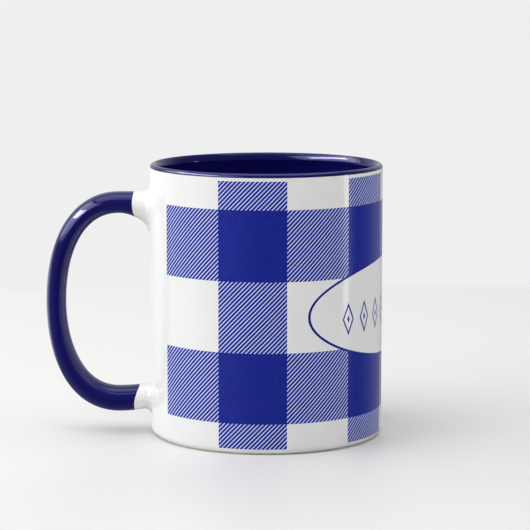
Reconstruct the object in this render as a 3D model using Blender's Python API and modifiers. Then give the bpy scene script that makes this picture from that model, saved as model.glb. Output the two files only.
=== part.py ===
"""A two-tone stoneware mug: a turned cup, a luted strap handle, their glazes and a printed wrap.

Metres, +Z up. The mug stands on z = 0 with its handle towards -X and the middle of its print towards +X.
The origin lies under the middle of the overall length, so the cup's own axis stands at x = AXIS_X.
Every mesh is drawn about the cup's axis and hangs on one empty there.
"""

import math
from collections import namedtuple

import bmesh
import bpy
from mathutils import Matrix, Vector

# Overall sizes
CUP_DIAMETER = 0.0820  # over the print
CUP_HEIGHT = 0.0960
HANDLE_STANDOFF = 0.0368  # from the cup's wall to the strap's outermost line

# The cup, over its glaze
WALL_AT_LIP = 0.0026  # the lip is fully round
WALL_AT_FLOOR = 0.0042
FLOOR_THICKNESS = 0.0055
FLOOR_CORNER = 0.0080  # radius between the inside wall and the floor
BASE_CORNER = 0.0025  # radius between the outside wall and the foot
FOOT_WIDTH = 0.0033  # the flat of the foot ring
FOOT_CHAMFER = 0.0006
RECESS_DEPTH = 0.0016  # the glazed underside inside the foot ring
RECESS_SLOPE = 0.0012  # how far the recess's side leans inwards

# Skins and fits
GLAZE = 0.0004
PRINT_FILM = 0.0001
SKIN_GAP = 0.0001  # between a skin and what it covers
JOINT_GAP = 0.0003  # between pieces that meet end to end
SLIP_SEAM = 0.0010  # the bed of slip under each end of the strap

# Where the glazes and the print end
LIP_COLOUR_ANGLE = math.radians(18)  # the colour line, on the lip's round, up from its outermost point
FOOT_GLAZE_ANGLE = math.radians(50)  # where the glaze is wiped off, on the base corner
HANDLE_COLOUR_LINE = 0.0061  # along the strap from the cup's wall
PRINT_BELOW_RIM = 0.0024
PRINT_ABOVE_TABLE = 0.0020
PRINT_OPENING = 0.0450  # bare arc left at the handle

# The handle's centreline and section, over the glaze
UPPER_ARM_DROP = 0.01365  # rim to the upper arm's highest centre point
LOWER_ARM_RISE = 0.0122  # table to the lower arm's lowest centre point
ARM_LENGTH = 0.0112  # wall to those two points
UPPER_ROOT_DIP = 0.0024  # how far the upper arm drops again on its way to the wall
LOWER_ROOT_RISE = 0.0009
UPPER_THICKNESS = 0.0076
OUTER_THICKNESS = 0.0070
LOWER_THICKNESS = 0.0090
STRAP_WIDTH = 0.0120  # across the handle's plane, at the grip
ROOT_WIDTH = 0.0136  # the same at both arms
OUTERMOST_SHARE = 0.494  # height of the outermost point, between the two arms
UPPER_FULLNESS = (0.627, 0.596)  # reach of the bend's tangents, along and across the arm
LOWER_FULLNESS = (0.696, 0.510)

# Flares where the strap meets the wall: how far each spreads over the wall, and how far out it starts
UPPER_OUTER_FLARE = (0.0012, 0.0016)
UPPER_INNER_FLARE = (0.0052, 0.0055)
LOWER_OUTER_FLARE = (0.0020, 0.0026)
LOWER_INNER_FLARE = (0.0014, 0.0018)
FLANK_FLARE = (0.0016, 0.0022)

# Mesh fineness
ROUND_STEPS = 48  # a multiple of 4, so that the overall sizes are true
LIP_STEP = math.radians(18)
FLOOR_CORNER_STEPS = 5
BASE_CORNER_STEPS = 3
STRAP_SIDES = 16
BEND_RINGS = 11
SHOULDER_RINGS = 3
STUB_RINGS = 11

# Derived sizes
GLAZE_RADIUS = CUP_DIAMETER / 2 - PRINT_FILM - SKIN_GAP
SKIN = GLAZE + SKIN_GAP  # from the finished surface down to bare clay
LIP_RADIUS = WALL_AT_LIP / 2
INSIDE_FLOOR = RECESS_DEPTH + FLOOR_THICKNESS
FLOOR_RADIUS = GLAZE_RADIUS - WALL_AT_FLOOR
HANDLE_REACH = CUP_DIAMETER / 2 + HANDLE_STANDOFF
AXIS_X = HANDLE_STANDOFF / 2  # half of what the handle adds to the cup's length
CLAY_RADIUS = GLAZE_RADIUS - SKIN
SEAM_START = CLAY_RADIUS + JOINT_GAP
SEAM_END = SEAM_START + SLIP_SEAM
ROOT_HALF_WIDTH = ROOT_WIDTH / 2 + FLANK_FLARE[0]
FLANK_RADIUS = math.sqrt(GLAZE_RADIUS**2 - ROOT_HALF_WIDTH**2)  # where the strap's flanks meet the round wall
ROOT_START = FLANK_RADIUS - 2 * SKIN  # the strap is drawn into the wall, then cut back
ARM_RADIUS = GLAZE_RADIUS + ARM_LENGTH
COLOUR_RADIUS = GLAZE_RADIUS + HANDLE_COLOUR_LINE

WHITE = (0.86, 0.86, 0.86, 1.0)
NAVY = (0.012, 0.008, 0.085, 1.0)
PRINT_BLUE = (0.016, 0.024, 0.26, 1.0)
BARE_CLAY = (0.74, 0.70, 0.63, 1.0)

Station = namedtuple("Station", "radius height along up thickness width")


# ---------------------------------------------------------------- helpers


def clear_scene():
    for item in list(bpy.data.objects):
        bpy.data.objects.remove(item, do_unlink=True)


def new_collection(name):
    collection = bpy.data.collections.new(name)
    bpy.context.scene.collection.children.link(collection)
    return collection


def new_material(name, colour, roughness):
    material = bpy.data.materials.new(name)
    material.use_nodes = True
    shader = material.node_tree.nodes["Principled BSDF"]
    shader.inputs["Base Color"].default_value = colour
    shader.inputs["Roughness"].default_value = roughness
    shader.inputs["Metallic"].default_value = 0.0
    material.diffuse_color = colour
    return material


def add_object(name, mesh, material=None):
    """A part where a material is given, otherwise a cutter."""
    item = bpy.data.objects.new(name, mesh)
    item.parent = cup_axis
    if material is None:
        item.hide_render = True
        item.display_type = "WIRE"
        cutters.objects.link(item)
    else:
        mesh.materials.append(material)
        parts.objects.link(item)
    return item


def boolean(item, cutter, operation="DIFFERENCE"):
    modifier = item.modifiers.new(f"{operation.lower()}_{cutter.name}", "BOOLEAN")
    modifier.operation = operation
    modifier.solver = "EXACT"
    modifier.object = cutter


def arc(centre, radius, start, end, steps):
    """Points round a centre in the (radius, height) plane. Angles rise from straight out towards up."""
    angles = [start + (end - start) * i / steps for i in range(steps + 1)]
    return [(centre[0] + radius * math.cos(a), centre[1] + radius * math.sin(a)) for a in angles]


def turned(name, profile, material, closed):
    """A profile of (radius, height) points, screwed once round the cup's axis."""
    mesh = bpy.data.meshes.new(name)
    edges = [(i, i + 1) for i in range(len(profile) - 1)]
    if closed:
        edges.append((len(profile) - 1, 0))
    mesh.from_pydata([(radius, 0.0, height) for radius, height in profile], edges, [])
    item = add_object(name, mesh, material)
    screw = item.modifiers.new("turn", "SCREW")
    screw.axis = "Z"
    screw.angle = math.tau
    screw.steps = ROUND_STEPS
    screw.render_steps = ROUND_STEPS
    screw.use_merge_vertices = True
    screw.merge_threshold = 0.00001
    screw.use_smooth_shade = True
    return item


def plug(name, radius):
    """A cutter as round as the cup, and taller than it at both ends."""
    mesh = bpy.data.meshes.new(name)
    shape = bmesh.new()
    bmesh.ops.create_cone(
        shape,
        cap_ends=True,
        segments=ROUND_STEPS,
        radius1=radius,
        radius2=radius,
        depth=CUP_HEIGHT * 2,
        matrix=Matrix.Translation((0.0, 0.0, CUP_HEIGHT / 2)),
    )
    shape.to_mesh(mesh)
    shape.free()
    return add_object(name, mesh)


# ---------------------------------------------------------------- the cup's surfaces


def lip(depth, start, end):
    """The round of the lip, this far under the finished surface."""
    centre = (GLAZE_RADIUS - LIP_RADIUS, CUP_HEIGHT - LIP_RADIUS)
    steps = max(1, round(abs(end - start) / LIP_STEP))
    return arc(centre, LIP_RADIUS - depth, start, end, steps)


def base_corner(depth):
    """The outside corner from the wall down to the line where the glaze is wiped off."""
    centre = (GLAZE_RADIUS - BASE_CORNER, BASE_CORNER)
    return arc(centre, BASE_CORNER - depth, 0.0, -FOOT_GLAZE_ANGLE, BASE_CORNER_STEPS)


def inside(depth):
    """From the middle of the floor out to the top of its corner. One straight edge joins it to the lip."""
    centre = (FLOOR_RADIUS - FLOOR_CORNER, INSIDE_FLOOR + FLOOR_CORNER)
    corner = arc(centre, FLOOR_CORNER + depth, -math.pi / 2, 0.0, FLOOR_CORNER_STEPS)
    return [(0.0, INSIDE_FLOOR - depth)] + corner


def foot():
    """The bare foot ring and the clay of the recess, down from the wiped line and in to the axis."""
    wiped = base_corner(SKIN)[-1]
    outer = wiped[0] - FOOT_CHAMFER
    inner = outer - FOOT_WIDTH
    recess = RECESS_DEPTH + SKIN
    return [
        (wiped[0] - FOOT_CHAMFER / 3, FOOT_CHAMFER),
        (outer, 0.0),
        (inner, 0.0),
        (inner - FOOT_CHAMFER, FOOT_CHAMFER),
        (inner - RECESS_SLOPE, recess),
        (0.0, recess),
    ]


def make_cup():
    clay = inside(SKIN) + lip(SKIN, math.pi, 0.0) + base_corner(SKIN) + foot()
    turned("cup_body", clay, clay_material, closed=False)

    over_lip = lip(0.0, math.pi, LIP_COLOUR_ANGLE)
    under_lip = lip(GLAZE, LIP_COLOUR_ANGLE, math.pi)
    lining = inside(0.0) + over_lip + under_lip + inside(GLAZE)[::-1]
    turned("lining_glaze", lining, navy_material, closed=False)

    white_top = LIP_COLOUR_ANGLE - JOINT_GAP / LIP_RADIUS
    face = lip(0.0, white_top, 0.0) + base_corner(0.0)
    back = base_corner(GLAZE)[::-1] + lip(GLAZE, 0.0, white_top)
    exterior = turned("exterior_glaze", face + back, white_material, closed=True)

    recess_radius = foot()[-2][0] - JOINT_GAP
    glaze_top = RECESS_DEPTH + GLAZE
    disc = [(0.0, glaze_top), (recess_radius, glaze_top), (recess_radius, RECESS_DEPTH), (0.0, RECESS_DEPTH)]
    turned("base_glaze", disc, white_material, closed=False)
    return exterior


def make_print():
    face = CUP_DIAMETER / 2
    back = face - PRINT_FILM
    top = CUP_HEIGHT - PRINT_BELOW_RIM
    band = [(face, top), (face, PRINT_ABOVE_TABLE), (back, PRINT_ABOVE_TABLE), (back, top)]
    film = turned("print_film", band, print_material, closed=True)

    # The opening at the handle: a tall wedge from the axis, wider than the print is high.
    half_angle = PRINT_OPENING / 2 / face
    far = face * 1.5
    corners = [(0.0, 0.0), (-far, far * math.tan(half_angle)), (-far, -far * math.tan(half_angle))]
    mesh = bpy.data.meshes.new("print_opening")
    shape = bmesh.new()
    floor = shape.faces.new([shape.verts.new((x, y, -PRINT_ABOVE_TABLE)) for x, y in corners])
    walls = bmesh.ops.extrude_face_region(shape, geom=[floor])
    lifted = [item for item in walls["geom"] if isinstance(item, bmesh.types.BMVert)]
    bmesh.ops.translate(shape, verts=lifted, vec=(0.0, 0.0, CUP_HEIGHT + 2 * PRINT_ABOVE_TABLE))
    bmesh.ops.recalc_face_normals(shape, faces=shape.faces)
    shape.to_mesh(mesh)
    shape.free()
    boolean(film, add_object("print_opening", mesh))


# ---------------------------------------------------------------- the handle


def smooth(share):
    return share * share * (3.0 - 2.0 * share)


def mix(start, end, share):
    return start + (end - start) * share


def root_station(radius, upper):
    """A station on the arm between the wall and its crown, where the centreline is a parabola."""
    share = (ARM_RADIUS - radius) / (ARM_RADIUS - GLAZE_RADIUS)
    if upper:
        fall, crown, thickness = UPPER_ROOT_DIP, CUP_HEIGHT - UPPER_ARM_DROP, UPPER_THICKNESS
    else:
        fall, crown, thickness = -LOWER_ROOT_RISE, LOWER_ARM_RISE, LOWER_THICKNESS
    slope = 2.0 * fall * share / (ARM_RADIUS - GLAZE_RADIUS)
    heading = 1.0 if upper else -1.0
    return Station(radius, crown - fall * share**2, heading, heading * slope, thickness, ROOT_WIDTH)


def run(start, end, upper, rings):
    return [root_station(mix(start, end, i / (rings - 1)), upper) for i in range(rings)]


def stub(upper):
    """The strap's white end, between the wall and the colour line, with its rings closer at the wall."""
    end = COLOUR_RADIUS - JOINT_GAP / 2
    shares = [(i / (STUB_RINGS - 1)) ** 1.5 for i in range(STUB_RINGS)]
    stations = [root_station(mix(ROOT_START, end, share), upper) for share in shares]
    return stations if upper else stations[::-1]


def bend(upper):
    """The upper bend, from its crown to the outermost point, or the lower bend, from there to its crown."""
    high = CUP_HEIGHT - UPPER_ARM_DROP
    outermost = Vector((HANDLE_REACH - OUTER_THICKNESS / 2, mix(LOWER_ARM_RISE, high, OUTERMOST_SHARE)))
    crown = Vector((ARM_RADIUS, high if upper else LOWER_ARM_RISE))
    span = outermost - crown
    along, across = UPPER_FULLNESS if upper else LOWER_FULLNESS
    knots = [
        crown,
        crown + Vector((span.x * along, 0.0)),
        outermost - Vector((0.0, span.y * across)),
        outermost,
    ]
    thickness = UPPER_THICKNESS if upper else LOWER_THICKNESS
    stations = []
    for i in range(BEND_RINGS + 1):
        t = i / BEND_RINGS
        s = 1.0 - t
        place = s**3 * knots[0] + 3 * s * s * t * knots[1] + 3 * s * t * t * knots[2] + t**3 * knots[3]
        legs = [knots[k + 1] - knots[k] for k in range(3)]
        heading = s * s * legs[0] + 2 * s * t * legs[1] + t * t * legs[2]
        if not upper:
            heading = -heading
        section = mix(thickness, OUTER_THICKNESS, smooth(t)), mix(ROOT_WIDTH, STRAP_WIDTH, smooth(t))
        stations.append(Station(place.x, place.y, heading.x, heading.y, *section))
    return stations if upper else stations[::-1]


def grip():
    """The navy part of the strap, from the upper colour line round the bends to the lower one."""
    upper = run(COLOUR_RADIUS + JOINT_GAP / 2, ARM_RADIUS, True, SHOULDER_RINGS)
    lower = run(ARM_RADIUS, COLOUR_RADIUS + JOINT_GAP / 2, False, SHOULDER_RINGS)
    return upper[:-1] + bend(True) + bend(False)[1:-1] + lower


def flared(size, radius, wall_radius):
    spread, length = size
    share = (radius - wall_radius) / length
    return spread * (1.0 - min(1.0, max(0.0, share))) ** 2


def flares_at(station, upper):
    """How far the strap's outer side, inner side and flanks stand out towards the wall."""
    outer = flared(UPPER_OUTER_FLARE if upper else LOWER_OUTER_FLARE, station.radius, GLAZE_RADIUS)
    inner = flared(UPPER_INNER_FLARE if upper else LOWER_INNER_FLARE, station.radius, GLAZE_RADIUS)
    return outer, inner, flared(FLANK_FLARE, station.radius, FLANK_RADIUS)


def ring_matrix(station, inset):
    """Places a unit circle as the strap's section at a station, this far under the finished surface."""
    upper = station.height > CUP_HEIGHT / 2
    outer, inner, flank = flares_at(station, upper)
    heading = Vector((-station.along, 0.0, station.up)).normalized()
    outwards = Vector((heading.z, 0.0, -heading.x))
    centre = Vector((-station.radius, 0.0, station.height)) + outwards * (outer - inner) / 2
    half_thickness = (station.thickness + outer + inner) / 2 - inset
    half_width = station.width / 2 + flank - inset
    matrix = Matrix.Translation(centre)
    matrix.col[0] = (outwards * half_thickness).resized(4)
    matrix.col[1] = Vector((0.0, half_width, 0.0, 0.0))
    matrix.col[2] = heading.resized(4)
    return matrix


def lofted(name, placements, material=None, hollow=False):
    """Oval rings joined in order: a solid with end caps or, where hollow, a tube closed on its own start."""
    shape = bmesh.new()
    angles = [math.tau * i / STRAP_SIDES for i in range(STRAP_SIDES)]
    circle = [Vector((math.cos(angle), math.sin(angle), 0.0)) for angle in angles]
    rings = [[shape.verts.new(placement @ point) for point in circle] for placement in placements]
    followers = rings[1:] + rings[:1] if hollow else rings[1:]
    for near, far in zip(rings, followers):
        for i in range(STRAP_SIDES):
            shape.faces.new((near[i - 1], near[i], far[i], far[i - 1]))
    if not hollow:
        shape.faces.new(rings[0][::-1])
        shape.faces.new(rings[-1])
    mesh = bpy.data.meshes.new(name)
    shape.to_mesh(mesh)
    shape.free()
    mesh.shade_smooth()
    mesh.set_sharp_from_angle(angle=math.radians(40))
    return add_object(name, mesh, material)


def sleeve(name, stations, material):
    """The glaze between its finished surface and its back, along these stations."""
    face = [ring_matrix(station, 0.0) for station in stations]
    back = [ring_matrix(station, GLAZE) for station in reversed(stations)]
    return lofted(name, face + back, material, hollow=True)


def solid(name, stations, inset, material=None):
    return lofted(name, [ring_matrix(station, inset) for station in stations], material)


def make_handle(exterior):
    core = solid("handle_core", stub(True) + grip() + stub(False), SKIN, clay_material)
    boolean(core, plug("core_ends", SEAM_END + JOINT_GAP))
    sleeve("handle_glaze", grip(), navy_material)

    seam_inside = plug("seam_inside", SEAM_START)
    seam_outside = plug("seam_outside", SEAM_END)
    stub_end = plug("stub_end", GLAZE_RADIUS + JOINT_GAP)
    for name, upper in (("upper", True), ("lower", False)):
        seam = solid(f"{name}_slip_seam", stub(upper), SKIN, slip_material)
        boolean(seam, seam_outside, "INTERSECT")
        boolean(seam, seam_inside)
        boolean(sleeve(f"{name}_stub_glaze", stub(upper), white_material), stub_end)
        boolean(exterior, solid(f"{name}_glaze_hole", stub(upper), SKIN - JOINT_GAP))


# ---------------------------------------------------------------- the mug

clear_scene()
parts = new_collection("two_tone_mug")
cutters = new_collection("cutters")

cup_axis = bpy.data.objects.new("cup_axis", None)
cup_axis.location = (AXIS_X, 0.0, 0.0)
cup_axis.empty_display_size = CUP_HEIGHT
parts.objects.link(cup_axis)

clay_material = new_material("stoneware", BARE_CLAY, 0.8)
slip_material = new_material("fired_slip", BARE_CLAY, 0.85)
white_material = new_material("white_glaze", WHITE, 0.12)
navy_material = new_material("navy_glaze", NAVY, 0.12)
print_material = new_material("blue_print", PRINT_BLUE, 0.15)

make_handle(make_cup())
make_print()
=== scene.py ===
"""Looks of the two-tone mug: turned skins, a blended strap handle, the printed wrap, table, light and camera.

Metres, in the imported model's own frame: +Z up, the handle towards -X, the middle of the print towards +X.
Every piece is drawn in place and replaces the CAD node that it stands for. The strap's clay core and its two
beds of slip are drawn too, although the glaze hides them.
"""

import math

import bmesh
import bpy
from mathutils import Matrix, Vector


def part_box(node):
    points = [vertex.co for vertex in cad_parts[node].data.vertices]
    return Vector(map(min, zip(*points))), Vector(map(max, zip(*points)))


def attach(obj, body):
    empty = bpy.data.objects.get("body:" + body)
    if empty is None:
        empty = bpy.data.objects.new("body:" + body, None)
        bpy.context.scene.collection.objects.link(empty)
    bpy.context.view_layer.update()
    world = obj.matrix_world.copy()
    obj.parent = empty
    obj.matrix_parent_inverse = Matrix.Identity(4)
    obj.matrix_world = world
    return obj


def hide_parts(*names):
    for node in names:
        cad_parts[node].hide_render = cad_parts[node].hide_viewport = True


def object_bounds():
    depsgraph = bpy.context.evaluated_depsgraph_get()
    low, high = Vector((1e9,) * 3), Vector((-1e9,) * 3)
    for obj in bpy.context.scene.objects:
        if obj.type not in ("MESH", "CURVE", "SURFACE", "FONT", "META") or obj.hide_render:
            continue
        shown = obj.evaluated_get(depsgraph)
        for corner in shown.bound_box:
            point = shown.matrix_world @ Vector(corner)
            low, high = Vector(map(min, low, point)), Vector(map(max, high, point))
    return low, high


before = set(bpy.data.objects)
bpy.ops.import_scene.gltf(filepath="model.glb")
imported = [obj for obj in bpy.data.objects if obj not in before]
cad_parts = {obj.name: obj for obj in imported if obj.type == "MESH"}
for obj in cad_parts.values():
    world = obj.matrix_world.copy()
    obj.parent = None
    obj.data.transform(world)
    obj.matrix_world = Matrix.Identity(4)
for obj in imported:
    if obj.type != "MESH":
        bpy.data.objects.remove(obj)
cad_low, cad_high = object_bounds()

# ---------------------------------------------------------------- sizes taken from the CAD

shell_low, shell_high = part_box("exterior_glaze")
film_low, film_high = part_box("print_film")
AXIS_X = (shell_low.x + shell_high.x) / 2
PRINT_RADIUS = film_high.y
GLAZE_RADIUS = (shell_high.x - shell_low.x) / 2
CUP_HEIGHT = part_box("lining_glaze")[1].z
HANDLE_REACH = AXIS_X - cad_low.x
PRINT_TOP = film_high.z
PRINT_FOOT = film_low.z

# Sizes that the boxes don't give, as in the CAD
WALL_AT_FLOOR = 0.0042
FLOOR_THICKNESS = 0.0055
FLOOR_CORNER = 0.0080
BASE_CORNER = 0.0025
FOOT_WIDTH = 0.0033
RECESS_DEPTH = 0.0016
RECESS_SLOPE = 0.0012
GLAZE = 0.0004
SKIN = 0.0005
FOOT_GLAZE_ANGLE = math.radians(50)
ARM_LENGTH = 0.0112
ARM_RADIUS = GLAZE_RADIUS + ARM_LENGTH
OUTER_THICKNESS = 0.0070
STRAP_WIDTH = 0.0120
ROOT_WIDTH = 0.0136
OUTERMOST_SHARE = 0.494
UPPER_CROWN = CUP_HEIGHT - 0.01365
LOWER_CROWN = 0.0122
UPPER_THICKNESS = 0.0076
LOWER_THICKNESS = 0.0090
UPPER_FULLNESS = (0.627, 0.596)
LOWER_FULLNESS = (0.696, 0.510)

# The finished surfaces of the looks
FILM = 0.00003  # the print's own thickness
COAT_RADIUS = PRINT_RADIUS - FILM - 0.00001  # the white glaze, just under the print
LIP_ARCS = ((0.0, 0.00127), (90.0, 0.0006), (135.0, 0.0038))  # first angle in degrees and radius, inwards
LIP_COLOUR_ANGLE = math.radians(2.4)
INSIDE_FLOOR = RECESS_DEPTH + FLOOR_THICKNESS
FLOOR_RADIUS = GLAZE_RADIUS - WALL_AT_FLOOR
FOOT_ROUND = 0.0005
FOOT_INNER_TURN = math.pi * 0.9  # how far the ring's inner edge turns before its straight slope
GLAZE_LAP = 0.00006  # how far navy stands over white where they meet
NAVY_EDGE_TURN = 0.06  # radians above the colour line where the navy starts to round off
NAVY_EDGE = ((0.7, 0.02), (0.0, 0.0))  # share of the lap that is left, and radians above the line
WHITE_OVERRUN = 0.1  # radians that the white runs on under the navy
WIPED_TURN = 0.05  # radians past the foot's clay edge where the white ends
WIPED_EDGE = (0.00006, 0.00018)  # depths that round off that end
POOL_OVERLAP = 0.0003  # how far the glaze of the recess reaches under the ring's slope
POOL_CREEP = 0.0008  # how far it creeps down that slope
MENISCUS_RADIUS = 0.0011
MENISCUS_INSET = 0.0012
MENISCUS_TURN = (math.radians(90), math.radians(15))

# The print, measured along the wall from its middle
PRINT_HALF = 0.1063
COLUMN = 0.0238
ROW = 0.0244
FIRST_ROW = 0.0107
STRIPES = 16  # hatch lines in a check
OVAL_HEIGHT = 0.0471
OVAL_HALF_LENGTH = 0.0504
OVAL_HALF_HEIGHT = 0.0172
OVAL_LINE = 0.00095
LOZENGE_PITCH = 0.0087
LOZENGE_COUNT = 9
LOZENGE_HALF_WIDTH = 0.0027
LOZENGE_HALF_HEIGHT = 0.0057
LOZENGE_LINE = 0.00062
LOZENGE_HEIGHT = 0.0452
LOZENGE_SLANT = 1.12  # a slanted line measures about this much more sideways than across it
LOZENGE_HEART = 0.24  # share of a lozenge that its solid middle takes
SPARE_BANDS = 10.0  # an even number that keeps every band's count above 0
SPARE_LOZENGES = 20  # the same for the row of lozenges, in half pitches
HATCH_EDGE = 0.172  # half the white share of a hatch line's pitch
HATCH_SOFTNESS = 0.09

# The wrap's texture map: the front fills it but for strips at its foot for the back and for the edges
MAP_SIDES = (0.002, 0.998)
MAP_FRONT = (0.04, 0.998)
MAP_BACK = (0.002, 0.02)
MAP_EDGE = (0.024, 0.034)

# Mesh fineness
ROUND_SIDES = 192
STRAP_SIDES = 72
BEND_RINGS = 56
ARC_STEP = math.radians(6)
LIP_STEP = math.radians(4)
FOOT_STEP = math.radians(15)
FLOOR_RINGS = 8
LINING_RINGS = 30
COAT_RINGS = 40
RECESS_RINGS = 12
PRINT_COLUMNS = 240
PRINT_ROWS = 46
FILLET_RINGS = 14
STUB_RINGS = 8
SHOULDER_RINGS = 12
CLAY_ARM_RINGS = 10
EDGE_RINGS = 4
SHARP_DEGREES = 50
CLAY_SHARP_DEGREES = 40

# The handle's arms are described by their outer and inner sides. Each side is level at the crown, at
# ARM_RADIUS, and rises by its run on the way to the wall, or falls where that is negative. A fillet then
# spreads it on the wall.
UPPER_SIDE_RUNS = (-0.0001, -0.0054)  # outer side, inner side
LOWER_SIDE_RUNS = (0.0013, 0.0010)
UPPER_FILLETS = ((0.0032, 0.0030), (0.0060, 0.0030), (0.0030, 0.0030))  # spread, length: outer, inner, flank
LOWER_FILLETS = ((0.0038, 0.0030), (0.0012, 0.0012), (0.0024, 0.0024))
UPPER_COLOUR_LINE = (0.04642, 0.00018, 0.00077)  # distance from the axis, lean, bulge on the flanks
LOWER_COLOUR_LINE = (0.04579, 0.00078, 0.00100)
NAVY_LAP = 0.00012  # radius of the soft edge where the navy of the handle ends
STUB_OVERRUN = 0.00025  # how far the white of a root runs on under the navy
SLIP_BED_GAPS = (0.0008, 0.0011, 0.0014)  # distances from the cup's clay, along the fillet
CORE_END_GAPS = (0.0017, 0.0022, 0.0028)

# ---------------------------------------------------------------- colours, finishes, light and camera

# A pair is the two shades that a material wanders between
WHITE_SHADES = ((0.868, 0.872, 0.874, 1.0), (0.892, 0.892, 0.890, 1.0))
WHITE_SPECK = (0.55, 0.53, 0.50, 1.0)
NAVY_SHADES = ((0.0046, 0.0040, 0.090, 1.0), (0.0068, 0.0060, 0.112, 1.0))
NAVY_FLECK = (0.03, 0.03, 0.16, 1.0)
NAVY_REFLECTION = (0.62, 0.60, 1.0, 1.0)
INK_SHADES = ((0.0016, 0.0138, 0.288, 1.0), (0.0036, 0.0168, 0.316, 1.0))
HATCH_GROUND = (0.60, 0.65, 0.97, 1.0)  # the pale blue between the lines
STONEWARE_SHADES = ((0.73, 0.69, 0.62, 1.0), (0.79, 0.76, 0.70, 1.0))
SLIP_SHADES = ((0.68, 0.63, 0.56, 1.0), (0.72, 0.68, 0.61, 1.0))
CLAY_IRON = (0.42, 0.34, 0.26, 1.0)
CLAY_SAND = (0.86, 0.83, 0.78, 1.0)
TABLE_SHADES = ((0.728, 0.725, 0.712, 1.0), (0.740, 0.737, 0.724, 1.0))
BACKDROP = (0.865, 0.865, 0.87, 1.0)

# Finishes: a pair of roughnesses, or the depth of a relief
WHITE_ROUGHNESS = (0.07, 0.15)
NAVY_ROUGHNESS = (0.06, 0.13)
CLAY_ROUGHNESS = (0.68, 0.95)
TABLE_ROUGHNESS = (0.42, 0.5)
INK_EXTRA_ROUGHNESS = 0.14
INK_RELIEF = 0.000002
WAVE_RELIEF = 0.00003
PEEL_RELIEF = 0.0000035
PINHOLE_RELIEF = 0.00001
STONEWARE_GRAIN = 0.00006
SLIP_GRAIN = 0.00004
TABLE_RELIEF = 0.00002
SPECK_FADE = (1.3, 0.7)  # a speck fades in between these shares of its size

# The table top
TABLE_SIDE = 1.6
TABLE_END = 0.34  # how far behind the mug it ends
TABLE_THICKNESS = 0.03

# The studio's fill light, by the direction it comes from
FILL_LIGHT = 0.18  # from above the horizon
BACK_LIGHT = 0.42  # added above the horizon behind the mug
UNDER_LIGHT = 0.07  # from below the horizon
LEFT_GLOW = 0.16  # added below the horizon at the left
STEEP_GLOW = 0.14  # added from straight below
BEHIND_GLOW = (0.3, 0.9)  # added below the horizon behind the mug, at the right and at the left

# Soft boxes: name, azimuth and elevation in degrees, distance, width and height in metres, power in watts,
# whether they light surfaces, and whether they show as reflections
SOFT_BOXES = (
    ("left_box", -80, 38, 1.1, 1.7, 0.8, 10.3, True, True),
    ("left_sheen", -88, 36, 1.12, 1.8, 0.9, 8.0, False, True),
    ("left_window", -84, 38, 1.1, 0.95, 0.2, 14.0, False, True),
    ("top_fill", -25, 72, 1.4, 1.2, 1.0, 9.4, True, False),
    ("back_fill", 180, 45, 0.8, 1.5, 0.4, 2.5, True, False),
    ("overhead_box", 180, 82, 1.3, 1.4, 1.2, 8.3, False, True),
    ("right_box", 80, 25, 1.2, 0.5, 0.7, 3.3, True, False),
    ("right_strip", 82, 2, 1.2, 0.14, 0.5, 0.7, False, True),
)

# The camera, placed and aimed from the cup's axis on the table
LENS = 156.6
SENSOR_WIDTH = 36.0
CAMERA_PLACE = (-0.0282, -0.8082, 0.1742)
CAMERA_AIM = (-0.00042, 0.0, 0.0597)


# ---------------------------------------------------------------- material helpers


def new_material(name):
    material = bpy.data.materials.new(name)
    material.use_nodes = True
    return material, Tree(material.node_tree)


class Tree:
    """Short calls for the node graphs below. A socket or a plain number may be given for any input."""

    def __init__(self, tree, coordinates="Object"):
        self.tree = tree
        self.shader = tree.nodes.get("Principled BSDF")
        self.place = tree.nodes.new("ShaderNodeTexCoord").outputs[coordinates]

    def add(self, kind, inputs, **settings):
        item = self.tree.nodes.new(kind)
        for name, value in settings.items():
            setattr(item, name, value)
        for key, value in inputs.items():
            if isinstance(value, bpy.types.NodeSocket):
                self.tree.links.new(value, item.inputs[key])
            else:
                item.inputs[key].default_value = value
        return item

    def math(self, operation, *values):
        return self.add("ShaderNodeMath", dict(enumerate(values)), operation=operation).outputs[0]

    def noise(self, scale, detail=2.0, roughness=0.5):
        inputs = {"Vector": self.place, "Scale": scale, "Detail": detail, "Roughness": roughness}
        return self.add("ShaderNodeTexNoise", inputs).outputs["Fac"]

    def specks(self, scale, size, seed_shift=0.0):
        """1 inside rare small round specks, 0 elsewhere."""
        shift = {0: self.place, 1: (seed_shift,) * 3}
        moved = self.add("ShaderNodeVectorMath", shift, operation="ADD").outputs[0]
        cells = self.add("ShaderNodeTexVoronoi", {"Vector": moved, "Scale": scale})
        return self.step(cells.outputs["Distance"], size * SPECK_FADE[0], size * SPECK_FADE[1])

    def step(self, value, low, high):
        """0 at low rising smoothly to 1 at high; low may be the larger."""
        inputs = {"Value": value, "From Min": low, "From Max": high, "To Min": 0.0, "To Max": 1.0}
        return self.add("ShaderNodeMapRange", inputs, interpolation_type="SMOOTHSTEP").outputs["Result"]

    def span(self, value, low, high):
        """A 0 to 1 value stretched to run from low to high."""
        inputs = {"Value": value, "From Min": 0.0, "From Max": 1.0, "To Min": low, "To Max": high}
        return self.add("ShaderNodeMapRange", inputs).outputs["Result"]

    def fainter(self, value, share):
        return self.math("MULTIPLY", value, share)

    def blend(self, share, first, second):
        inputs = {0: share, 6: first, 7: second}
        return self.add("ShaderNodeMix", inputs, data_type="RGBA").outputs[2]

    def bump(self, height, distance, normal=None):
        inputs = {"Height": height, "Distance": distance, "Strength": 1.0}
        if normal is not None:
            inputs["Normal"] = normal
        return self.add("ShaderNodeBump", inputs).outputs["Normal"]

    def finish(self, colour, roughness, normal):
        self.tree.links.new(colour, self.shader.inputs["Base Color"])
        self.tree.links.new(roughness, self.shader.inputs["Roughness"])
        self.tree.links.new(normal, self.shader.inputs["Normal"])


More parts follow.
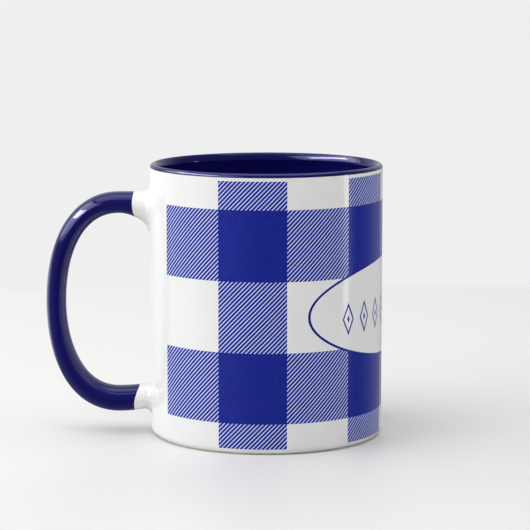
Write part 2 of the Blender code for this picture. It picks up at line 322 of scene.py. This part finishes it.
def glaze_relief(tree):
    """The slow waviness of a fired glaze, with a few pinholes in it."""
    waves = tree.bump(tree.noise(scale=140.0, detail=1.0), WAVE_RELIEF)
    peel = tree.bump(tree.noise(scale=700.0), PEEL_RELIEF, normal=waves)
    pits = tree.math("MULTIPLY", tree.specks(scale=260.0, size=0.045), -1.0)
    return tree.bump(pits, PINHOLE_RELIEF, normal=peel)


def white_colour(tree):
    clouds = tree.step(tree.noise(scale=45.0, detail=3.0), low=0.35, high=0.65)
    body = tree.blend(clouds, *WHITE_SHADES)
    specks = tree.fainter(tree.specks(scale=210.0, size=0.035, seed_shift=0.4), share=0.3)
    return tree.blend(specks, body, WHITE_SPECK)


def white_glaze():
    material, tree = new_material("gloss white glaze")
    roughness = tree.span(tree.noise(scale=320.0, detail=3.0), *WHITE_ROUGHNESS)
    tree.finish(white_colour(tree), roughness, glaze_relief(tree))
    return material


def navy_glaze():
    material, tree = new_material("gloss navy glaze")
    tree.shader.inputs["Specular Tint"].default_value = NAVY_REFLECTION
    pools = tree.step(tree.noise(scale=60.0, detail=3.0), low=0.3, high=0.7)
    colour = tree.blend(pools, *NAVY_SHADES)
    flecks = tree.fainter(tree.specks(scale=330.0, size=0.05, seed_shift=0.7), share=0.35)
    colour = tree.blend(flecks, colour, NAVY_FLECK)
    roughness = tree.span(tree.noise(scale=300.0, detail=3.0), *NAVY_ROUGHNESS)
    tree.finish(colour, roughness, glaze_relief(tree))
    return material


def bare_clay(name, shades, grain):
    material, tree = new_material(name)
    sand = tree.noise(scale=2600.0, detail=4.0, roughness=0.65)
    clouds = tree.noise(scale=120.0, detail=3.0)
    colour = tree.blend(tree.step(clouds, low=0.3, high=0.7), *shades)
    iron = tree.fainter(tree.specks(scale=900.0, size=0.16), share=0.45)
    colour = tree.blend(iron, colour, CLAY_IRON)
    bright_sand = tree.fainter(tree.step(sand, low=0.55, high=0.75), share=0.35)
    colour = tree.blend(bright_sand, colour, CLAY_SAND)
    roughness = tree.span(sand, *CLAY_ROUGHNESS)
    tree.finish(colour, roughness, tree.bump(sand, grain))
    return material


def print_cover(tree, along, height):
    """Where the wrap is blue, and where it is hatched or solid.

    The design is a gingham check round an oval panel that holds a row of plain lozenges.
    """
    column = tree.math("DIVIDE", tree.math("ADD", along, PRINT_HALF), COLUMN)
    row = tree.math("DIVIDE", tree.math("SUBTRACT", height, FIRST_ROW), ROW)

    def odd_bands(value):
        """1 in every other band, from the second band on."""
        count = tree.math("FLOOR", tree.math("ADD", value, SPARE_BANDS))
        return tree.math("MODULO", count, 2.0)

    blue_column = odd_bands(column)
    blue_row = tree.math("SUBTRACT", 1.0, odd_bands(row))
    both = tree.math("MULTIPLY", blue_column, blue_row)
    either = tree.math("MAXIMUM", blue_column, blue_row)
    slant = tree.math("MULTIPLY", tree.math("SUBTRACT", column, row), STRIPES)
    saw = tree.math("FRACT", slant)
    ridge = tree.math("ABSOLUTE", tree.math("SUBTRACT", saw, 0.5))
    line = tree.step(ridge, HATCH_EDGE - HATCH_SOFTNESS, HATCH_EDGE + HATCH_SOFTNESS)
    hatch = tree.math("MULTIPLY", either, line)
    checks = tree.math("MAXIMUM", both, hatch)

    def ellipse(half_length, half_height):
        x = tree.math("DIVIDE", along, half_length)
        y = tree.math("DIVIDE", tree.math("SUBTRACT", height, OVAL_HEIGHT), half_height)
        total = tree.math("ADD", tree.math("MULTIPLY", x, x), tree.math("MULTIPLY", y, y))
        return tree.math("LESS_THAN", total, 1.0)

    inside = ellipse(OVAL_HALF_LENGTH, OVAL_HALF_HEIGHT)
    outside = ellipse(OVAL_HALF_LENGTH + OVAL_LINE, OVAL_HALF_HEIGHT + OVAL_LINE)
    ring = tree.math("SUBTRACT", outside, inside)
    checks = tree.math("MULTIPLY", checks, tree.math("SUBTRACT", 1.0, outside))

    # The row of lozenges: each an outline with a small solid one in its middle.
    shifted = tree.math("ADD", along, LOZENGE_PITCH * (LOZENGE_COUNT + SPARE_LOZENGES) / 2)
    cell = tree.math("SUBTRACT", tree.math("MODULO", shifted, LOZENGE_PITCH), LOZENGE_PITCH / 2)
    across = tree.math("DIVIDE", tree.math("ABSOLUTE", cell), LOZENGE_HALF_WIDTH)
    rise = tree.math("ABSOLUTE", tree.math("SUBTRACT", height, LOZENGE_HEIGHT))
    size = tree.math("ADD", across, tree.math("DIVIDE", rise, LOZENGE_HALF_HEIGHT))
    hollow = 1.0 - LOZENGE_LINE / LOZENGE_HALF_WIDTH * LOZENGE_SLANT
    within = tree.math("LESS_THAN", size, 1.0)
    outline = tree.math("MULTIPLY", within, tree.math("GREATER_THAN", size, hollow))
    heart = tree.math("LESS_THAN", size, LOZENGE_HEART)
    in_row = tree.math("LESS_THAN", tree.math("ABSOLUTE", along), LOZENGE_PITCH * LOZENGE_COUNT / 2)
    lozenges = tree.math("MULTIPLY", tree.math("MAXIMUM", outline, heart), in_row)
    ink = tree.math("MAXIMUM", tree.math("MAXIMUM", checks, ring), lozenges)
    return ink, tree.math("MULTIPLY", either, tree.math("SUBTRACT", 1.0, outside))


def printed_wrap():
    material, tree = new_material("gloss blue print")
    where = tree.add("ShaderNodeSeparateXYZ", {0: tree.place}).outputs
    outwards = tree.math("SUBTRACT", where[0], AXIS_X)
    along = tree.math("MULTIPLY", tree.math("ARCTAN2", where[1], outwards), PRINT_RADIUS)
    cover, checks = print_cover(tree, along, where[2])
    mottle = tree.step(tree.noise(scale=500.0, detail=3.0), low=0.3, high=0.7)
    ink = tree.blend(mottle, *INK_SHADES)
    ground = tree.blend(checks, white_colour(tree), HATCH_GROUND)
    colour = tree.blend(cover, ground, ink)
    glossy = tree.span(tree.noise(scale=320.0, detail=3.0), *WHITE_ROUGHNESS)
    roughness = tree.math("ADD", glossy, tree.math("MULTIPLY", cover, INK_EXTRA_ROUGHNESS))
    relief = tree.bump(cover, INK_RELIEF, normal=glaze_relief(tree))
    tree.finish(colour, roughness, relief)
    return material


# ---------------------------------------------------------------- mesh helpers


def add_piece(name, mesh, material, slot, *nodes):
    mesh.materials.append(material)
    piece = bpy.data.objects.new(name, mesh)
    bpy.context.scene.collection.objects.link(piece)
    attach(piece, "root")
    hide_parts(*nodes)
    return piece


def arc(centre, radius, start, end, step=ARC_STEP):
    """Points round a centre in the (radius, height) plane. Angles rise from straight out towards up."""
    steps = max(2, round(abs(end - start) / step))
    angles = [start + (end - start) * i / steps for i in range(steps + 1)]
    return [(centre[0] + radius * math.cos(a), centre[1] + radius * math.sin(a)) for a in angles]


def straight(start, end, steps):
    """Points between two others, without them."""
    return [(mix(start[0], end[0], i / steps), mix(start[1], end[1], i / steps)) for i in range(1, steps)]


def mix(start, end, share):
    return start + (end - start) * share


def smooth(share):
    return share * share * (3.0 - 2.0 * share)


def finished_mesh(name, shape, sharp_degrees=SHARP_DEGREES):
    bmesh.ops.recalc_face_normals(shape, faces=shape.faces)
    mesh = bpy.data.meshes.new(name)
    shape.to_mesh(mesh)
    shape.free()
    mesh.shade_smooth()
    mesh.set_sharp_from_angle(angle=math.radians(sharp_degrees))
    return mesh


def round_axis(radius, angle, height):
    """The place at this distance and angle from the cup's axis. Angle 0 is the middle of the print."""
    return AXIS_X + radius * math.cos(angle), radius * math.sin(angle), height


def turned(name, profile, closed, sharp_degrees=SHARP_DEGREES):
    """A solid of revolution. An open profile starts and ends on the axis; a closed one goes round a ring."""
    shape = bmesh.new()
    angles = [math.tau * i / ROUND_SIDES for i in range(ROUND_SIDES)]
    rings = []
    for radius, height in profile:
        if radius == 0.0:
            rings.append([shape.verts.new((AXIS_X, 0.0, height))])
        else:
            rings.append([shape.verts.new(round_axis(radius, angle, height)) for angle in angles])
    pairs = list(zip(rings, rings[1:]))
    if closed:
        pairs.append((rings[-1], rings[0]))
    for near, far in pairs:
        for i in range(ROUND_SIDES):
            j = (i + 1) % ROUND_SIDES
            if len(near) == 1:
                shape.faces.new((near[0], far[i], far[j]))
            elif len(far) == 1:
                shape.faces.new((near[i], near[j], far[0]))
            else:
                shape.faces.new((near[i], near[j], far[j], far[i]))
    return finished_mesh(name, shape, sharp_degrees)


def join_loops(shape, near, far):
    for i in range(len(near)):
        shape.faces.new((near[i - 1], near[i], far[i], far[i - 1]))


def tube(name, rings):
    """Rings joined in order, the last one to the first: a hollow sleeve that is one closed solid."""
    shape = bmesh.new()
    loops = [[shape.verts.new(point) for point in ring] for ring in rings]
    for near, far in zip(loops, loops[1:] + loops[:1]):
        join_loops(shape, near, far)
    return finished_mesh(name, shape)


def loft(name, rings):
    """Rings joined in order and capped at both ends."""
    shape = bmesh.new()
    loops = [[shape.verts.new(point) for point in ring] for ring in rings]
    for near, far in zip(loops, loops[1:]):
        join_loops(shape, near, far)
    shape.faces.new(loops[0][::-1])
    shape.faces.new(loops[-1])
    return finished_mesh(name, shape)


# ---------------------------------------------------------------- the cup


def lip(depth, start, end):
    """Points over the rim, small and round outside and easing slowly into the wall inside.

    An angle is that of the way the surface faces: 0 is straight out, and half a turn is straight in.
    """
    first = LIP_ARCS[0][1]
    centre = Vector((COAT_RADIUS - first, CUP_HEIGHT - first))
    arcs = [(0.0, first, centre)]
    for degrees, radius in LIP_ARCS[1:]:
        turn = math.radians(degrees)
        centre = centre + Vector((math.cos(turn), math.sin(turn))) * (arcs[-1][1] - radius)
        arcs.append((turn, radius, centre))
    steps = max(2, round(abs(end - start) / LIP_STEP))
    points = []
    for i in range(steps + 1):
        angle = mix(start, end, i / steps)
        _, radius, centre = [item for item in arcs if item[0] <= angle + 1e-6][-1]
        point = centre + Vector((math.cos(angle), math.sin(angle))) * (radius - depth)
        points.append((point.x, point.y))
    return points


def base_corner(depth, end=-FOOT_GLAZE_ANGLE):
    return arc((COAT_RADIUS - BASE_CORNER, BASE_CORNER), BASE_CORNER - depth, 0.0, end)


def inside(depth):
    """From the middle of the floor out to its corner."""
    centre = (FLOOR_RADIUS - FLOOR_CORNER, INSIDE_FLOOR + FLOOR_CORNER)
    corner = arc(centre, FLOOR_CORNER + depth, -math.pi / 2, 0.0)
    middle = (0.0, INSIDE_FLOOR - depth)
    return [middle] + straight(middle, corner[0], FLOOR_RINGS) + corner


def foot():
    """The bare foot ring, with softly rounded edges, and the clay of the recess, down and in to the axis."""
    wiped = base_corner(SKIN)[-1]
    outer = wiped[0] - FOOT_ROUND
    inner = outer - FOOT_WIDTH
    recess = RECESS_DEPTH + SKIN
    outer_edge = arc((outer, FOOT_ROUND), FOOT_ROUND, 0.0, -math.pi / 2, FOOT_STEP)
    inner_edge = arc((inner, FOOT_ROUND), FOOT_ROUND, -math.pi / 2, -FOOT_INNER_TURN, FOOT_STEP)
    return outer_edge + inner_edge + [(inner - RECESS_SLOPE, recess), (0.0, recess)]


def make_clay_cup(clay):
    body = inside(SKIN) + lip(SKIN, math.pi, 0.0) + base_corner(SKIN) + foot()
    mesh = turned("clay_cup", body, False, CLAY_SHARP_DEGREES)
    add_piece("clay_cup", mesh, clay, "stoneware", "cup_body")


def make_lining(navy):
    """The navy inside. It laps over the white just under the lip, and ends there in a soft rounded edge."""
    line = LIP_COLOUR_ANGLE
    over = lip(-GLAZE_LAP, math.pi, line + NAVY_EDGE_TURN)
    over[0] = lip(0.0, math.pi, line)[0]
    edge = [lip(-GLAZE_LAP * share, line + turn, line)[0] for share, turn in NAVY_EDGE]
    floor = inside(0.0)
    side = straight(floor[-1], over[0], LINING_RINGS)
    back = lip(GLAZE, line, math.pi) + inside(GLAZE)[::-1]
    mesh = turned("navy_lining", floor + side + over + edge + back, False)
    add_piece("navy_lining", mesh, navy, "navy_glaze", "lining_glaze")


def make_coat(white):
    """The white outside, from under the navy's edge down to the line where the foot is wiped clean."""
    under_navy = LIP_COLOUR_ANGLE + WHITE_OVERRUN
    top = lip(0.0, under_navy, 0.0)
    corner = base_corner(0.0)
    face = top + straight(top[-1], corner[0], COAT_RINGS) + corner
    wiped = -FOOT_GLAZE_ANGLE - WIPED_TURN
    rounded = [base_corner(depth, wiped)[-1] for depth in WIPED_EDGE]
    back = rounded + base_corner(GLAZE)[::-1] + lip(GLAZE, 0.0, under_navy)
    add_piece("white_coat", turned("white_coat", face + back, True), white, "white_glaze", "exterior_glaze")


def make_underside(white):
    """The glaze in the recess, which creeps a little way down the slope of the foot ring."""
    rim = foot()[-2][0] + POOL_OVERLAP
    top = RECESS_DEPTH + GLAZE
    centre = (rim - MENISCUS_INSET, RECESS_DEPTH - MENISCUS_RADIUS)
    meniscus = arc(centre, MENISCUS_RADIUS, *MENISCUS_TURN, FOOT_STEP)
    pool = [(0.0, top), (rim, top), (rim, RECESS_DEPTH - POOL_CREEP)] + meniscus[::-1]
    pool += straight(meniscus[0], (0.0, RECESS_DEPTH), RECESS_RINGS) + [(0.0, RECESS_DEPTH)]
    add_piece("underside_glaze", turned("underside_glaze", pool, False), white, "white_glaze", "base_glaze")


def make_print(material):
    """The wrap: a film on the wall that also follows the base corner down to its lower edge."""
    half_turn = PRINT_HALF / PRINT_RADIUS
    angles = [mix(-half_turn, half_turn, i / PRINT_COLUMNS) for i in range(PRINT_COLUMNS + 1)]

    def face_radius(height):
        if height >= BASE_CORNER:
            return PRINT_RADIUS
        sunk = BASE_CORNER - math.sqrt(BASE_CORNER**2 - (BASE_CORNER - height) ** 2)
        return PRINT_RADIUS - sunk

    heights = [PRINT_FOOT, mix(PRINT_FOOT, BASE_CORNER, 0.5)]
    heights += [mix(BASE_CORNER, PRINT_TOP, i / (PRINT_ROWS - 2)) for i in range(PRINT_ROWS - 1)]
    shape = bmesh.new()
    layers = []
    for depth in (0.0, FILM):
        grid = []
        for height in heights:
            radius = face_radius(height) - depth
            grid.append([shape.verts.new(round_axis(radius, angle, height)) for angle in angles])
        layers.append(grid)
    front, back = layers
    uv = shape.loops.layers.uv.new("OFBake")

    def face(corners, places):
        made = shape.faces.new(corners)
        for loop, place in zip(made.loops, places):
            loop[uv].uv = place

    last_row = len(heights) - 1
    last_column = PRINT_COLUMNS

    def map_place(i, j, strip):
        rise = (heights[j] - PRINT_FOOT) / (PRINT_TOP - PRINT_FOOT)
        return mix(*MAP_SIDES, i / PRINT_COLUMNS), mix(*strip, rise)

    for j in range(last_row):
        for i in range(last_column):
            square = ((i, j), (i + 1, j), (i + 1, j + 1), (i, j + 1))
            face([front[b][a] for a, b in square], [map_place(a, b, MAP_FRONT) for a, b in square])
            face([back[b][a] for a, b in square[::-1]], [map_place(a, b, MAP_BACK) for a, b in square[::-1]])
    edge = [(i, 0) for i in range(last_column)] + [(last_column, j) for j in range(last_row)]
    edge += [(i, last_row) for i in range(last_column, 0, -1)] + [(0, j) for j in range(last_row, 0, -1)]
    for index, (near, far) in enumerate(zip(edge, edge[1:] + edge[:1])):
        start, end = index / len(edge), (index + 1) / len(edge)
        (i, j), (next_i, next_j) = near, far
        corners = [back[j][i], back[next_j][next_i], front[next_j][next_i], front[j][i]]
        low, high = MAP_EDGE
        face(corners, [(start, low), (end, low), (end, high), (start, high)])
    mesh = finished_mesh("print_wrap", shape)
    add_piece("print_wrap", mesh, material, "blue_print", "print_film")


# ---------------------------------------------------------------- the handle


def colour_line(angle, upper):
    base, lean, bulge = UPPER_COLOUR_LINE if upper else LOWER_COLOUR_LINE
    return base + lean * math.cos(angle) + bulge * math.sin(angle) ** 2


def arm_point(reach, angle, upper, inset, fillet=0.0):
    """A point on an arm, this far from the cup's axis. fillet is 0 on the free arm and 1 at the wall."""
    share = (ARM_RADIUS - reach) / ARM_LENGTH
    runs = UPPER_SIDE_RUNS if upper else LOWER_SIDE_RUNS
    crown = UPPER_CROWN if upper else LOWER_CROWN
    thickness = UPPER_THICKNESS if upper else LOWER_THICKNESS
    side = 1.0 if upper else -1.0
    outer = crown + side * thickness / 2 + runs[0] * share**2
    inner = crown - side * thickness / 2 + runs[1] * share**2
    outer_fillet, inner_fillet, flank_fillet = UPPER_FILLETS if upper else LOWER_FILLETS
    spread = outer_fillet if math.cos(angle) > 0 else inner_fillet
    half_thickness = abs(outer - inner) / 2 - inset + spread[0] * fillet
    half_width = ROOT_WIDTH / 2 - inset + flank_fillet[0] * fillet
    height = (outer + inner) / 2 + side * math.cos(angle) * half_thickness
    return Vector((AXIS_X - reach, math.sin(angle) * half_width, height))


def fillet_length(angle, upper):
    outer, inner, flank = UPPER_FILLETS if upper else LOWER_FILLETS
    along = outer[1] if math.cos(angle) > 0 else inner[1]
    return mix(along, flank[1], math.sin(angle) ** 2)


def wall_point(turn, angle, upper, inset):
    """A point on the fillet between arm and wall. turn is 0 at the arm and a quarter turn at the wall."""
    length = fillet_length(angle, upper)
    fillet = 1.0 - math.cos(turn)
    side = arm_point(GLAZE_RADIUS, angle, upper, inset, fillet).y
    reach = math.sqrt((COAT_RADIUS - inset) ** 2 - side**2) + length * (1.0 - math.sin(turn))
    return arm_point(reach, angle, upper, inset, fillet)


def strap_angles():
    return [math.tau * i / STRAP_SIDES for i in range(STRAP_SIDES)]


def stub_rings(upper, inset):
    """From the wall to just under the navy, on the white glaze's face or its back."""
    turns = [math.pi / 2 * (1.0 - i / FILLET_RINGS) for i in range(FILLET_RINGS + 1)]
    rings = [[wall_point(turn, angle, upper, inset) for angle in strap_angles()] for turn in turns]
    for step in range(1, STUB_RINGS + 1):
        ring = []
        for angle in strap_angles():
            start = AXIS_X - wall_point(0.0, angle, upper, inset).x
            end = colour_line(angle, upper) + STUB_OVERRUN
            ring.append(arm_point(mix(start, end, step / STUB_RINGS), angle, upper, inset))
        rings.append(ring)
    return rings


def bend_rings(upper, inset):
    """The bend's rings from its crown to the outermost point."""
    outermost = Vector((HANDLE_REACH - OUTER_THICKNESS / 2, mix(LOWER_CROWN, UPPER_CROWN, OUTERMOST_SHARE)))
    crown = Vector((ARM_RADIUS, UPPER_CROWN if upper else LOWER_CROWN))
    span = outermost - crown
    along, across = UPPER_FULLNESS if upper else LOWER_FULLNESS
    knots = [
        crown,
        crown + Vector((span.x * along, 0.0)),
        outermost - Vector((0.0, span.y * across)),
        outermost,
    ]
    side = 1.0 if upper else -1.0
    rings = []
    for step in range(BEND_RINGS + 1):
        t = step / BEND_RINGS
        s = 1.0 - t
        place = s**3 * knots[0] + 3 * s * s * t * knots[1] + 3 * s * t * t * knots[2] + t**3 * knots[3]
        legs = [knots[k + 1] - knots[k] for k in range(3)]
        heading = (s * s * legs[0] + 2 * s * t * legs[1] + t * t * legs[2]).normalized()
        outwards = Vector((side * heading.y, 0.0, side * heading.x))
        thickness = mix(UPPER_THICKNESS if upper else LOWER_THICKNESS, OUTER_THICKNESS, smooth(t)) / 2 - inset
        width = mix(ROOT_WIDTH, STRAP_WIDTH, smooth(t)) / 2 - inset
        centre = Vector((AXIS_X - place.x, 0.0, place.y))
        ring = []
        for angle in strap_angles():
            aside = Vector((0.0, math.sin(angle) * width, 0.0))
            ring.append(centre + outwards * (math.cos(angle) * thickness) + aside)
        rings.append(ring)
    return rings


def shoulder_rings(upper, inset, edge):
    """The navy arm from its colour line to the crown. edge pairs distances past it with extra insets."""
    rings = []
    for past, extra in edge:
        lines = [(angle, colour_line(angle, upper) + past) for angle in strap_angles()]
        rings.append([arm_point(reach, angle, upper, inset + extra) for angle, reach in lines])
    for step in range(1, SHOULDER_RINGS):
        ring = []
        for angle in strap_angles():
            start = colour_line(angle, upper) + edge[-1][0]
            ring.append(arm_point(mix(start, ARM_RADIUS, step / SHOULDER_RINGS), angle, upper, inset))
        rings.append(ring)
    return rings


def grip_rings(inset, edge):
    upper = shoulder_rings(True, inset, edge) + bend_rings(True, inset)
    lower = shoulder_rings(False, inset, edge) + bend_rings(False, inset)
    return upper + lower[::-1][1:]


def make_handle(white, navy):
    quarter = [math.pi / 2 * i / EDGE_RINGS for i in range(EDGE_RINGS + 1)]
    soft_edge = [(NAVY_LAP * (1.0 - math.cos(turn)), NAVY_LAP * (1.0 - math.sin(turn))) for turn in quarter]
    rings = grip_rings(0.0, soft_edge) + grip_rings(GLAZE, [(NAVY_LAP, 0.0)])[::-1]
    add_piece("navy_grip", tube("navy_grip", rings), navy, "navy_glaze", "handle_glaze")
    for name, upper in (("upper", True), ("lower", False)):
        rings = stub_rings(upper, GLAZE_LAP) + stub_rings(upper, GLAZE)[::-1]
        piece = f"{name}_white_root"
        add_piece(piece, tube(piece, rings), white, "white_glaze", f"{name}_stub_glaze")


def root_ring(gap, upper):
    """The strap's bare clay at this gap from the cup's clay, on the fillet."""
    ring = []
    for angle in strap_angles():
        share = 1.0 - gap / fillet_length(angle, upper)
        ring.append(wall_point(math.asin(max(0.0, share)), angle, upper, SKIN))
    return ring


def make_strap_clay(clay, slip):
    """The clay core and the beds of slip that join it to the cup: all of it is under the glaze."""
    core = []
    for upper in (True, False):
        half = [root_ring(gap, upper) for gap in CORE_END_GAPS]
        start = [AXIS_X - point.x for point in half[-1]]
        for step in range(1, CLAY_ARM_RINGS):
            share = step / CLAY_ARM_RINGS
            places = [(angle, mix(reach, ARM_RADIUS, share)) for angle, reach in zip(strap_angles(), start)]
            half.append([arm_point(reach, angle, upper, SKIN) for angle, reach in places])
        half += bend_rings(upper, SKIN)
        core += half if upper else half[::-1][1:]
        bed = "upper_slip_bed" if upper else "lower_slip_bed"
        mesh = loft(bed, [root_ring(gap, upper) for gap in SLIP_BED_GAPS])
        add_piece(bed, mesh, slip, "fired_slip", bed.replace("bed", "seam"))
    add_piece("clay_strap", loft("clay_strap", core), clay, "stoneware", "handle_core")


# ---------------------------------------------------------------- stage, light and camera


def make_floor():
    """A plain pale table top that ends a little way behind the mug."""
    material, tree = new_material("pale table")
    clouds = tree.noise(scale=3.0)
    colour = tree.blend(clouds, *TABLE_SHADES)
    relief = tree.bump(tree.noise(scale=60.0), TABLE_RELIEF)
    tree.finish(colour, tree.span(clouds, *TABLE_ROUGHNESS), relief)
    mesh = bpy.data.meshes.new("table_top")
    levels, depths, sides = (-TABLE_THICKNESS, 0.0), (-TABLE_SIDE, TABLE_END), (-TABLE_SIDE, TABLE_SIDE)
    corners = [(x, y, z) for z in levels for y in depths for x in sides]
    faces = [(4, 5, 7, 6), (0, 2, 3, 1), (0, 1, 5, 4), (2, 6, 7, 3), (0, 4, 6, 2), (1, 3, 7, 5)]
    mesh.from_pydata(corners, [], faces)
    mesh.materials.append(material)
    table = bpy.data.objects.new("table_top", mesh)
    bpy.context.scene.collection.objects.link(table)
    table.visible_glossy = False  # the studio's dark surroundings show in the glaze, and not the bright table


def make_world():
    """A pale backdrop for the camera, and a dimmer fill light that differs by direction for all the rest."""
    world = bpy.data.worlds.new("studio")
    bpy.context.scene.world = world
    world.use_nodes = True
    nodes, links = world.node_tree.nodes, world.node_tree.links
    fill = nodes["Background"]
    fill.inputs["Color"].default_value = (1.0, 1.0, 1.0, 1.0)
    tree = Tree(world.node_tree, "Generated")
    rightwards, backwards, upwards = tree.add("ShaderNodeSeparateXYZ", {0: tree.place}).outputs
    back = tree.math("MULTIPLY", tree.step(backwards, low=0.2, high=0.9), BACK_LIGHT)
    above = tree.math("ADD", FILL_LIGHT, back)
    left = tree.math("MULTIPLY", tree.step(rightwards, low=-0.1, high=-0.9), LEFT_GLOW)
    sideways = tree.span(tree.step(rightwards, low=0.2, high=-0.2), *BEHIND_GLOW)
    behind = tree.math("MULTIPLY", tree.step(backwards, low=0.1, high=0.8), sideways)
    behind = tree.math("MULTIPLY", behind, tree.step(upwards, low=-0.45, high=-0.2))
    steep = tree.math("MULTIPLY", tree.step(upwards, low=-0.35, high=-0.75), STEEP_GLOW)
    below = tree.math("ADD", tree.math("ADD", left, behind), tree.math("ADD", steep, UNDER_LIGHT))
    risen = tree.step(upwards, low=-0.03, high=0.03)
    split = tree.add("ShaderNodeMix", {0: risen, 2: below, 3: above}).outputs[0]
    links.new(split, fill.inputs["Strength"])
    seen = nodes.new("ShaderNodeBackground")
    seen.inputs["Color"].default_value = BACKDROP
    rays = nodes.new("ShaderNodeLightPath")
    chosen = nodes.new("ShaderNodeMixShader")
    links.new(rays.outputs["Is Camera Ray"], chosen.inputs[0])
    links.new(fill.outputs[0], chosen.inputs[1])
    links.new(seen.outputs[0], chosen.inputs[2])
    links.new(chosen.outputs[0], nodes["World Output"].inputs["Surface"])


def add_light(name, azimuth, elevation, distance, width, height, power, diffuse, glossy):
    """A soft box aimed at the mug. Azimuth 0 is the camera's side and rises towards +X."""
    lamp = bpy.data.lights.new(name, "AREA")
    lamp.shape = "RECTANGLE"
    lamp.size = width
    lamp.size_y = height
    lamp.energy = power
    light = bpy.data.objects.new(name, lamp)
    turn, tilt = math.radians(azimuth), math.radians(elevation)
    away = Vector((math.sin(turn) * math.cos(tilt), -math.cos(turn) * math.cos(tilt), math.sin(tilt)))
    light.location = Vector((AXIS_X, 0.0, CUP_HEIGHT / 2)) + away * distance
    light.rotation_euler = away.to_track_quat("Z", "Y").to_euler()
    light.visible_diffuse = diffuse
    light.visible_glossy = glossy
    bpy.context.scene.collection.objects.link(light)


def make_camera():
    camera = bpy.data.objects.new("camera", bpy.data.cameras.new("camera"))
    camera.data.lens = LENS
    camera.data.sensor_width = SENSOR_WIDTH
    camera.location = (AXIS_X + CAMERA_PLACE[0], CAMERA_PLACE[1], CAMERA_PLACE[2])
    aim = Vector((AXIS_X + CAMERA_AIM[0], CAMERA_AIM[1], CAMERA_AIM[2])) - camera.location
    camera.rotation_euler = aim.to_track_quat("-Z", "Y").to_euler()
    bpy.context.scene.collection.objects.link(camera)
    bpy.context.scene.camera = camera


# ---------------------------------------------------------------- the scene

white = white_glaze()
navy = navy_glaze()
clay = bare_clay("bare stoneware", STONEWARE_SHADES, STONEWARE_GRAIN)
slip = bare_clay("fired slip", SLIP_SHADES, SLIP_GRAIN)

make_clay_cup(clay)
make_lining(navy)
make_coat(white)
make_underside(white)
make_print(printed_wrap())
make_handle(white, navy)
make_strap_clay(clay, slip)

make_floor()
make_world()
for soft_box in SOFT_BOXES:
    add_light(*soft_box)
make_camera()
bpy.context.scene.view_settings.view_transform = "Standard"
